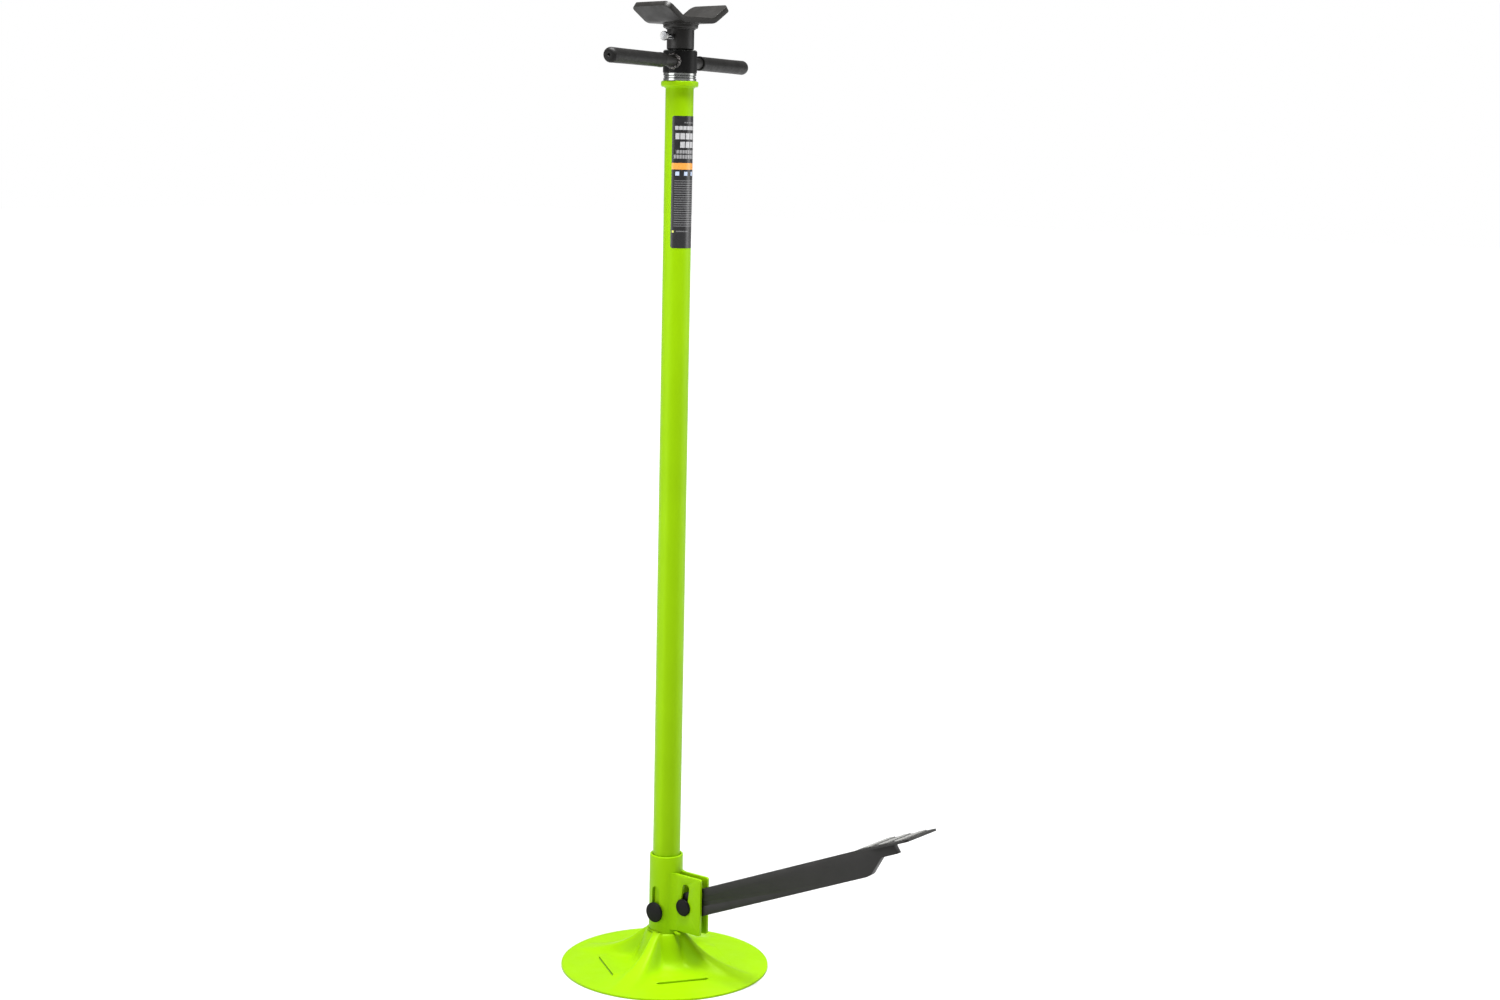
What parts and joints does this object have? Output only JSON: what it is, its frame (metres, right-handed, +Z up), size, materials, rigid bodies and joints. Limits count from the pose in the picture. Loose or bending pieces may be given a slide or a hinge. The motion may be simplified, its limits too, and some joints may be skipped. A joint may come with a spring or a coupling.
{
  "type": "under-hoist support stand",
  "caption": "Tall screw support stand: round stamped base, foot pedal that lifts the column, spun nut and lead screw, V saddle on top.",
  "frame": {"origin": "on the floor at the centre of the round base, on the column's axis", "axes": "+Z up along the column, +X along the pedal lever towards the foot pad"},
  "size_m": [0.5998, 0.438, 1.4032],
  "materials": {
    "lime_paint": "gloss lime-green powder coat",
    "black_paint": "satin black powder coat",
    "black_oxide": "black oxide steel",
    "zinc": "bright zinc plate",
    "ground_steel": "ground bearing steel",
    "screw_steel": "rolled thread, oiled",
    "grip_vinyl": "soft black vinyl",
    "label_film": null,
    "tread_grit": "light grey anti-slip grit"
  },
  "bodies": {
    "base": {"base_plate": "lime_paint", "guide_sleeve": "lime_paint", "bracket_cheek_near": "lime_paint", "bracket_cheek_far": "lime_paint", "fulcrum_pin": "black_oxide", "fulcrum_pin_clip": "zinc"},
    "pedal": {"pedal_lever": "black_paint", "foot_pad": "black_paint", "pad_treads": "tread_grit"},
    "column": {"column_tube": "lime_paint", "column_collar": "lime_paint", "column_label": "label_film", "lift_pin": "black_oxide", "lift_pin_clip": "zinc", "bearing_lower_race": "ground_steel"},
    "spinner": {"bearing_upper_race": "ground_steel", "spin_hub": "black_oxide", "handle_rod_far": "black_paint", "handle_rod_near": "black_paint", "grip_far": "grip_vinyl", "grip_near": "grip_vinyl"},
    "ball_cage": {"bearing_balls": "ground_steel", "bearing_cage": "ground_steel"},
    "screw": {"lead_screw": "screw_steel", "screw_stop_washer": "zinc", "screw_stop_bolt": "zinc"},
    "saddle": {"saddle_socket": "black_paint", "saddle_flange": "black_paint", "saddle_vee": "black_paint"},
    "lock": {"lock_screw": "zinc"}
  },
  "joints": [
    {"name": "pedal_press", "type": "hinge", "parent": "base", "child": "pedal", "pos_m": [0.042, 0, 0.0978], "axis": [0, 1, 0], "range_deg": [0, 34]},
    {"name": "column_lift", "type": "slide", "parent": "base", "child": "column", "axis": [0, 0, 1], "range_m": [0, 0.0256]},
    {"name": "handle_spin", "type": "hinge", "parent": "column", "child": "spinner", "pos_m": [0, 0, 1.322], "axis": [0, 0, -1], "range_deg": [0, 43200]},
    {"name": "cage_spin", "type": "hinge", "parent": "column", "child": "ball_cage", "pos_m": [0, 0, 1.30025], "axis": [0, 0, -1], "range_deg": [0, 21600]},
    {"name": "screw_lift", "type": "slide", "parent": "column", "child": "screw", "axis": [0, 0, 1], "range_m": [0, 0.6001]},
    {"name": "saddle_swivel", "type": "hinge", "parent": "screw", "child": "saddle", "pos_m": [0, 0, 1.3753], "axis": [0, 0, 1], "continuous": true},
    {"name": "lock_screw_turn", "type": "hinge", "parent": "saddle", "child": "lock", "pos_m": [0, -0.038, 1.3565], "axis": [0, -1, 0], "range_deg": [0, 720]}
  ],
  "couplings": [
    {"joint": "column_lift", "follows": "pedal_press", "m_per_rad": 0.043},
    {"joint": "cage_spin", "follows": "handle_spin", "ratio": 0.5},
    {"joint": "screw_lift", "follows": "handle_spin", "m_per_rad": 0.00079577}
  ]
}
